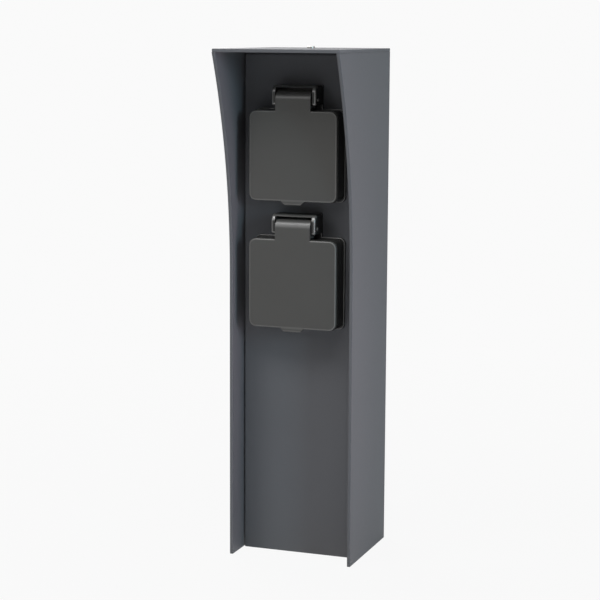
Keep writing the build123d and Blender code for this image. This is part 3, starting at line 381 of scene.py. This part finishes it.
def moulded(
    name, colour, gloss, grain, depth=0.02 * MM, mottle=0.06, specular=0.45,
    polish=None, highlighted=None, highlight_gain=1.0,
):
    """Moulded plastic with the mould's fine grain and faint flow marks.

    Rounded edges shine where polish gives the refractive index of their shine. A share of the
    surface, given by the mask function passed in, is painted paler by a factor, as a painted
    highlight.
    """
    flow_width, broad_width, broad_start, broad_share = 16 * MM, 40 * MM, 0.55, 1.5
    gloss_dip = 0.06
    plastic = Finish(name)
    start, place = plastic.start, plastic.place
    fine = start.noise(place, grain, rough=0.55)
    flow = start.noise(place, flow_width, detail=3.0, rough=0.55)
    broad = start.noise(place, broad_width, detail=1.0)
    tone = start.blend(scaled(colour, 1 - mottle), scaled(colour, 1 + mottle), flow)
    tone = start.blend(
        tone, scaled(colour, 1 + 2 * mottle), (broad - broad_start).clamped() * broad_share
    )
    if highlighted:
        # Painted highlight: the masked share of the surface is painted paler than the plastic's
        # colour
        tone = start.blend(tone, scaled(colour, highlight_gain), highlighted(plastic))
    plastic.vary("Base Color", tone)
    plastic.roughen(gloss - gloss_dip, (fine, 0.08), (flow, 0.05))
    plastic.fixed(Specular_IOR_Level=specular)
    if polish:
        plastic.vary("Coat Weight", rounded_edge(plastic))
        plastic.fixed(Coat_Roughness=0.33, Coat_IOR=polish)
    plastic.bump(fine, depth, strength=0.5)
    return plastic.material


def rounded_edge(finish):
    """1 where the surface leans away from the front, and 0 on flat fronts and sides; it sets the
    coat's shine, and the frames' painted highlight.
    """
    front = finish.leaning("Y").size()
    return ((1.0 - front) * LEAN_RISE).clamped() * (front * SIDE_FADE).clamped()


def lid_rim_highlight(finish, socket):
    """Mask of the painted highlight: 1 along the rim of a lid's front and 0 inside it and on its
    lug.
    """
    middle = HINGES[socket + "_lid_hinge"]["pos_m"][2] - LID_BELOW_HINGE
    x, z = finish.axis("X").size(), finish.axis("Z") - middle
    across = x.above(LID_WIDTH / 2 - LID_CORNER)
    along = z.size().above(LID_HEIGHT / 2 - LID_CORNER)
    inside = LID_CORNER - (across ** 2.0 + along ** 2.0) ** 0.5
    band = ((RIM_WIDTH - inside) * (1 / RIM_FADE)).clamped()
    band = band * (1.0 + inside * (1 / OUTER_FADE)).clamped()
    lug = ((LUG_WIDTH / 2 + LUG_MARGIN - x) * (1 / OUTER_FADE)).clamped()
    lug = lug * (z * (1 / LUG_RISE)).clamped()
    return band * (1.0 - lug)


def rubbery(name):
    """Soft black rubber with a dry bloom."""
    black, bloomed = (0.016, 0.016, 0.017), (0.034, 0.034, 0.033)
    rubber = Finish(name)
    start, place = rubber.start, rubber.place
    bloom = start.noise(place, width=3 * MM, detail=3.0, rough=0.6)
    fine = start.noise(place, width=0.25 * MM, detail=1.0)
    rubber.vary("Base Color", start.blend(black, bloomed, bloom))
    rubber.roughen(0.62, (bloom, 0.2))
    rubber.bump(fine, depth=0.02 * MM, strength=0.4)
    return rubber.material


def bright_metal(name, colour, gloss, streak=(900.0, 60.0, 900.0)):
    """Drawn or turned metal: fine streaks along the work and faint dull spots.

    The streaks are as close along each axis as streak says, and run along that of its least value.
    """
    dark_streak, light_streak = 0.86, 1.08
    spot_start, spot_tone = 0.5, 0.76
    metal = Finish(name)
    start = metal.start
    stretched = start.node("ShaderNodeMapping", None, {"Vector": metal.place, "Scale": streak})
    values = {"Vector": stretched, "Scale": 3.0, "Detail": 3.0, "Roughness": 0.6}
    lines = start.node("ShaderNodeTexNoise", None, values, "Fac")
    dull = start.noise(metal.place, width=2.2 * MM)
    tone = start.blend(scaled(colour, dark_streak), scaled(colour, light_streak), lines)
    tone = start.blend(tone, scaled(colour, spot_tone), (dull - spot_start).clamped())
    metal.vary("Base Color", tone)
    metal.roughen(gloss, (lines, 0.14), (dull, 0.1))
    metal.fixed(Metallic=1.0)
    metal.bump(lines, depth=0.01 * MM, strength=0.3)
    return metal.material


def galvanised(name):
    """Zinc-dipped sheet with its spangle."""
    dark, light = (0.40, 0.41, 0.42), (0.56, 0.57, 0.58)
    spangle_share = 0.8
    zinc = Finish(name)
    start = zinc.start
    values = {"Vector": zinc.place, "Scale": 180.0, "Randomness": 1.0}
    cells = start.node("ShaderNodeTexVoronoi", {"feature": "F1"}, values, "Color")
    spangle = start.node("ShaderNodeSeparateColor", None, {"Color": cells}, "Red")
    fine = start.noise(zinc.place, width=0.6 * MM, detail=3.0)
    share = spangle * spangle_share + fine * (1 - spangle_share)
    zinc.vary("Base Color", start.blend(dark, light, share))
    zinc.roughen(0.34, (spangle, 0.16), (fine, 0.08))
    zinc.fixed(Metallic=1.0)
    zinc.bump(fine, depth=0.015 * MM, strength=0.3)
    return zinc.material


def insulation(name, colour, stripe=None):
    """Smooth wire insulation; an earth core has a second colour wound along it."""
    contrast = 0.1
    pitch, slant, stripe_balance, stripe_edge = 14 * MM, 1.4, 0.1, 9.0
    sleeve = Finish(name)
    start = sleeve.start
    fine = start.noise(sleeve.place, width=1.5 * MM)
    tone = start.blend(scaled(colour, 1 - contrast), scaled(colour, 1 + contrast), fine)
    if stripe:
        turn = (sleeve.axis("Z") + sleeve.axis("X") * slant) * (2 * pi / pitch)
        wave = start.node("ShaderNodeMath", {"operation": "SINE"}, {0: turn})
        tone = start.blend(tone, stripe, ((wave + stripe_balance) * stripe_edge).clamped())
    sleeve.vary("Base Color", tone)
    sleeve.roughen(0.3, (fine, 0.12))
    sleeve.bump(fine, depth=0.02 * MM, strength=0.3)
    return sleeve.material


# Pieces


def dress(nodes, material, edge=0.0):
    """Give CAD nodes a material, smooth shading and soft small edges."""
    for name in nodes:
        piece = frame["nodes"][name]
        piece.data.materials.clear()
        piece.data.materials.append(material)
        weld = piece.modifiers.new("weld", "WELD")
        weld.merge_threshold = WELD
        if edge:
            flat = piece.modifiers.new("flat faces", "DECIMATE")
            flat.decimate_type = "DISSOLVE"
            flat.angle_limit = FLAT_ANGLE
            soft = piece.modifiers.new("soft edges", "BEVEL")
            soft.limit_method = "ANGLE"
            soft.angle_limit = SHARP_ANGLE
            soft.width = edge
            soft.segments = EDGE_SEGMENTS
            soft.use_clamp_overlap = True
            even = piece.modifiers.new("even shading", "WEIGHTED_NORMAL")
            even.mode = "FACE_AREA"
            even.weight = AREA_WEIGHT
            even.keep_sharp = True
        shade_by_angle(piece, SHARP_ANGLE)


def shade_by_angle(piece, angle):
    """Smooth faces, with a sharp edge kept where two meet at more than the angle."""
    mesh = piece.data
    for face in mesh.polygons:
        face.use_smooth = True
    mesh.set_sharp_from_angle(angle=angle)


def tube(name, points, frames, radius):
    """A closed round tube through points, with a normal and a binormal at each."""
    sides = TUBE_SIDES
    verts, faces = [], []
    for point, (normal, across) in zip(points, frames):
        for k in range(sides):
            turn = 2 * pi * k / sides
            verts.append(point + radius * (cos(turn) * normal + sin(turn) * across))
    for i in range(len(points) - 1):
        for k in range(sides):
            a, b = i * sides + k, i * sides + (k + 1) % sides
            faces.append((a, b, b + sides, a + sides))
    last = (len(points) - 1) * sides
    faces.append(tuple(reversed(range(sides))))
    faces.append(tuple(range(last, last + sides)))
    mesh = bpy.data.meshes.new(name)
    mesh.from_pydata(verts, [], faces)
    mesh.validate()
    piece = bpy.data.objects.new(name, mesh)
    bpy.context.scene.collection.objects.link(piece)
    return piece


def wind_spring(socket, shape, material):
    """The torsion spring of one lid, wound along its pin in the sense that opening the lid would
    twist it.
    """
    centre = Vector(HINGES[socket + "_lid_hinge"]["pos_m"])
    sweep = 2 * pi * shape.turns

    def on_coil(share):
        angle = -pi / 2 - sweep * share
        radial = Vector((0, cos(angle), sin(angle)))
        point = centre + shape.radius * radial + Vector((shape.length * (0.5 - share), 0, 0))
        turning = shape.radius * sweep
        run = Vector((-shape.length, turning * sin(angle), -turning * cos(angle)))
        return point, radial, run.normalized()

    steps = round(shape.turns * STEPS_PER_TURN)
    coil = [on_coil(i / steps) for i in range(steps + 1)]
    foot, drive = coil[0], coil[-1]
    before = [
        (foot[0] - foot[2] * shape.foot * (1 - i / FOOT_STEPS), *foot[1:])
        for i in range(FOOT_STEPS)
    ]
    after = [
        (drive[0] + drive[2] * shape.drive * (i + 1) / DRIVE_STEPS, *drive[1:])
        for i in range(DRIVE_STEPS)
    ]
    line = before + coil + after
    frames = []
    for _, radial, run in line:
        across = run.cross(radial).normalized()
        frames.append((across.cross(run).normalized(), across))
    piece = tube(socket + "_spring_wire", [point for point, _, _ in line], frames, shape.wire / 2)
    piece.data.materials.append(material)
    shade_by_angle(piece, WIRE_SHARP_ANGLE)
    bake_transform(piece)
    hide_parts(socket + "_hinge_spring")


# Operators


class COLUMN_OT_housing(bpy.types.Operator):
    """Coat the housing, its roof and the front panel"""

    bl_idname = "column.housing"
    bl_label = "Coat Housing"

    def execute(self, context):
        sheet = context.scene.column_sheet
        coat = powder_coat("powder coat", sheet)
        dress(["housing_shell", "roof_plate", "front_panel"], coat, sheet.edge)
        return {"FINISHED"}


class COLUMN_OT_lids(bpy.types.Operator):
    """Finish both lids as moulded plastic"""

    bl_idname = "column.lids"
    bl_label = "Finish Lids"

    def execute(self, context):
        lid = context.scene.column_lid
        for socket in SOCKETS:
            # Each lid's rim is painted paler, as a painted highlight
            plastic = moulded(
                socket + " lid plastic", lid.colour, lid.gloss, lid.grain, depth=0.025 * MM,
                mottle=0.05, specular=0.35, polish=1.5, highlighted=partial(lid_rim_highlight, socket=socket),
                highlight_gain=lid.highlight_gain,
            )
            dress([socket + "_lid"], plastic, lid.edge)
        return {"FINISHED"}


class COLUMN_OT_frames(bpy.types.Operator):
    """Finish the sockets' frames, their seals and gaskets"""

    bl_idname = "column.frames"
    bl_label = "Finish Socket Frames"

    def execute(self, context):
        settings = context.scene.column_frame
        # Rounded edges shine through the coat and are also painted paler, as a painted highlight
        plastic = moulded(
            "frame plastic", settings.colour, settings.gloss, grain=0.4 * MM, specular=0.35,
            polish=2.0, highlighted=rounded_edge, highlight_gain=settings.highlight_gain,
        )
        dress(both("socket_frame"), plastic, settings.edge)
        seals = both("frame_gasket", "lid_seal") + ["cable_grommet"]
        dress(seals, rubbery("seal rubber"), RUBBER_EDGE)
        return {"FINISHED"}


class COLUMN_OT_inserts(bpy.types.Operator):
    """Finish the mouldings behind the front panel"""

    bl_idname = "column.inserts"
    bl_label = "Finish Inserts"

    def execute(self, context):
        dark = moulded("insert plastic", (0.05, 0.05, 0.052), gloss=0.42, grain=0.5 * MM)
        pale = moulded(
            "terminal block plastic", (0.62, 0.6, 0.54), gloss=0.38, grain=0.5 * MM, mottle=0.03
        )
        dress(both("contact_carrier", "rear_cap") + ["cable_clamp"], dark, INSERT_EDGE)
        dress(["terminal_block"], pale, INSERT_EDGE)
        return {"FINISHED"}


class COLUMN_OT_metalwork(bpy.types.Operator):
    """Finish screws, pins, contacts, earthing parts and the ground bracket"""

    bl_idname = "column.metalwork"
    bl_label = "Finish Metalwork"

    def execute(self, context):
        steel = bright_metal("stainless steel", (0.56, 0.55, 0.53), gloss=0.22)
        screws = ["back_screws", "roof_screw", "cable_clamp_screws", "frame_screws", "well_screws"]
        holders = ["roof_rivet_nut", "frame_nuts", "panel_standoffs"]
        dress(screws + holders, steel, STEEL_EDGE)
        dull = bright_metal("dull pin steel", (0.2, 0.196, 0.19), gloss=0.42)
        dress(both("hinge_pin"), dull, STEEL_EDGE)
        brass = bright_metal(
            "stamped brass", (0.72, 0.55, 0.27), gloss=0.2, streak=(700.0, 700.0, 90.0)
        )
        contacts = both("live_contact", "neutral_contact", "earth_clip")
        fasteners = ["earth_stud", "earth_nut", "terminal_screws", "contact_screws"]
        dress(contacts + fasteners, brass, BRASS_EDGE)
        tinned = bright_metal("tinned copper", (0.66, 0.65, 0.62), gloss=0.3)
        dress(["earth_lug"], tinned, BRASS_EDGE)
        dress(["ground_bracket"], galvanised("galvanised sheet"), BRACKET_EDGE)
        return {"FINISHED"}


class COLUMN_OT_wiring(bpy.types.Operator):
    """Colour the cores by their poles"""

    bl_idname = "column.wiring"
    bl_label = "Finish Wiring"

    def execute(self, context):
        dress(both("live_wire"), insulation("live insulation", (0.16, 0.06, 0.025)))
        dress(both("neutral_wire"), insulation("neutral insulation", (0.03, 0.12, 0.42)))
        earth = insulation("earth insulation", (0.05, 0.28, 0.05), (0.68, 0.56, 0.03))
        dress(both("earth_wire") + ["bonding_wire"], earth)
        return {"FINISHED"}


class COLUMN_OT_springs(bpy.types.Operator):
    """Wind the lids' torsion springs"""

    bl_idname = "column.springs"
    bl_label = "Wind Hinge Springs"

    def execute(self, context):
        wire = bright_metal("spring wire", (0.42, 0.42, 0.43), gloss=0.24)
        for socket in SOCKETS:
            wind_spring(socket, context.scene.column_spring, wire)
        return {"FINISHED"}


class COLUMN_OT_stage(bpy.types.Operator):
    """Set the floor, the soft lamps, the pale backdrop and the camera"""

    bl_idname = "column.stage"
    bl_label = "Set Stage"

    def execute(self, context):
        studio = context.scene.column_studio
        lay_floor(studio)
        hang_lamps(studio)
        light_world(studio)
        place_camera(studio)
        context.scene.view_settings.view_transform = "Standard"
        return {"FINISHED"}


def lay_floor(studio):
    """A pale floor, as bright as the backdrop, with a faint shadow near the column."""
    mesh = bpy.data.meshes.new("floor")
    sides = ((-1, -1), (1, -1), (1, 1), (-1, 1))
    corners = [(x * FLOOR_REACH, y * FLOOR_REACH, 0) for x, y in sides]
    mesh.from_pydata(corners, [], [(0, 1, 2, 3)])
    floor = bpy.data.objects.new("floor", mesh)
    bpy.context.scene.collection.objects.link(floor)
    floor.location.z = -FLOOR_DROP
    material = bpy.data.materials.new("pale floor")
    material.use_nodes = True
    tree = material.node_tree
    start = Channel(tree)
    rays = seen_rays(start)
    place = start.node("ShaderNodeTexCoord", out="Object")
    away = start.node("ShaderNodeVectorMath", {"operation": "LENGTH"}, {0: place}, "Value")
    paint = start.node("ShaderNodeBsdfDiffuse", None, {"Color": opaque(FLOOR_PAINT)})
    values = {"Color": opaque(studio.backdrop), "Strength": 1.0}
    glow = start.node("ShaderNodeEmission", None, values)
    near = (SHADOW_REACH * SHADOW_RISE - away * SHADOW_RISE).clamped()
    share = rays * (1.0 - near * SHADOW_SHARE)
    mixed = start.node("ShaderNodeMixShader", None, {0: share, 1: paint, 2: glow})
    tree.links.new(mixed.socket, tree.nodes["Material Output"].inputs["Surface"])
    mesh.materials.append(material)


def hang_lamps(studio):
    """Three softboxes, a strip lamp with a grid at the right, and a cool window."""
    # Each lamp's power, tint, place, target, size and spread
    lamps = {
        "high softbox": (
            studio.high_power, WHITE, (-0.15, -0.8, 1.57), MIDDLE, (1.5, 0.5), NO_GRID,
        ),
        "left softbox": (
            studio.left_power, WHITE, (-0.95, -1.13, 1.04), MIDDLE, (0.8, 0.8), NO_GRID,
        ),
        "back softbox": (
            studio.back_power, WHITE, (-0.95, 0.95, 1.1), MIDDLE, (1.2, 1.2), NO_GRID,
        ),
        "side strip": (
            studio.side_power, studio.side_tint, (0.8, -0.23, 0.1), (0.04, -0.23, 0.09),
            (0.25, 0.5), GRID,
        ),
        "window": (
            studio.window_power, studio.window_tint, (1.41, -0.66, 0.55), MIDDLE, (0.28, 0.5),
            NO_GRID,
        ),
    }
    for name, (power, tint, place, target, size, spread) in lamps.items():
        light = bpy.data.lights.new(name, "AREA")
        light.shape = "RECTANGLE"
        light.size, light.size_y = size
        light.spread = radians(spread)
        light.energy = power
        light.color = tint
        lamp = bpy.data.objects.new(name, light)
        bpy.context.scene.collection.objects.link(lamp)
        lamp.location = place
        lamp.rotation_mode = "QUATERNION"
        lamp.rotation_quaternion = (Vector(target) - Vector(place)).to_track_quat("-Z", "Y")


def seen_rays(start):
    """1 for rays that show the surroundings: seen directly, in gloss and through clear parts."""
    rays = start.node("ShaderNodeLightPath", out="Is Camera Ray")
    for kind in ("Is Glossy Ray", "Is Transmission Ray"):
        rays = rays + start.node("ShaderNodeLightPath", out=kind)
    return rays.clamped()


def light_world(studio):
    """The pale backdrop for rays that show it, and a dim warm light from all round for the rest."""
    world = bpy.data.worlds.new("studio")
    bpy.context.scene.world = world
    world.use_nodes = True
    tree = world.node_tree
    start = Channel(tree)
    seen = seen_rays(start)
    background = tree.nodes["Background"]
    dim = scaled(studio.shade, studio.ambient)
    tree.links.new(start.blend(dim, studio.backdrop, seen).socket, background.inputs["Color"])


def place_camera(studio):
    """The camera of the photograph's view."""
    yaw, pitch, roll = studio.yaw, studio.pitch, studio.roll
    forward = Vector((-sin(yaw) * cos(pitch), cos(yaw) * cos(pitch), -sin(pitch)))
    level = Vector((cos(yaw), sin(yaw), 0))
    down = forward.cross(level)
    right = cos(roll) * level - sin(roll) * down
    up = -(sin(roll) * level + cos(roll) * down)
    data = bpy.data.cameras.new("camera")
    data.lens = studio.lens
    data.sensor_width = SENSOR
    camera = bpy.data.objects.new("camera", data)
    bpy.context.scene.collection.objects.link(camera)
    turn = Matrix((right, up, -forward)).transposed().to_4x4()
    camera.matrix_world = Matrix.Translation(studio.eye) @ turn
    bpy.context.scene.camera = camera


class COLUMN_PT_panel(bpy.types.Panel):
    """The column's settings and steps"""

    bl_idname = "COLUMN_PT_panel"
    bl_label = "Garden Socket Column"
    bl_space_type = "VIEW_3D"
    bl_region_type = "UI"
    bl_category = "Column"

    def draw(self, context):
        for name, group in SETTINGS.items():
            box = self.layout.box()
            box.label(text=group.__doc__)
            for setting in group.__annotations__:
                box.prop(getattr(context.scene, name), setting)
        for step in STEPS:
            self.layout.operator(step.bl_idname)


STEPS = (
    COLUMN_OT_housing,
    COLUMN_OT_lids,
    COLUMN_OT_frames,
    COLUMN_OT_inserts,
    COLUMN_OT_metalwork,
    COLUMN_OT_wiring,
    COLUMN_OT_springs,
    COLUMN_OT_stage,
)


def register():
    for group in SETTINGS.values():
        bpy.utils.register_class(group)
    for name, group in SETTINGS.items():
        setattr(bpy.types.Scene, name, PointerProperty(type=group))
    for step in STEPS:
        bpy.utils.register_class(step)
    bpy.utils.register_class(COLUMN_PT_panel)


def unregister():
    bpy.utils.unregister_class(COLUMN_PT_panel)
    for step in reversed(STEPS):
        bpy.utils.unregister_class(step)
    for name in SETTINGS:
        delattr(bpy.types.Scene, name)
    for group in reversed(SETTINGS.values()):
        bpy.utils.unregister_class(group)


def main():
    register()
    for step in STEPS:
        area, name = step.bl_idname.split(".")
        getattr(getattr(bpy.ops, area), name)()


if __name__ == "__main__":
    main()
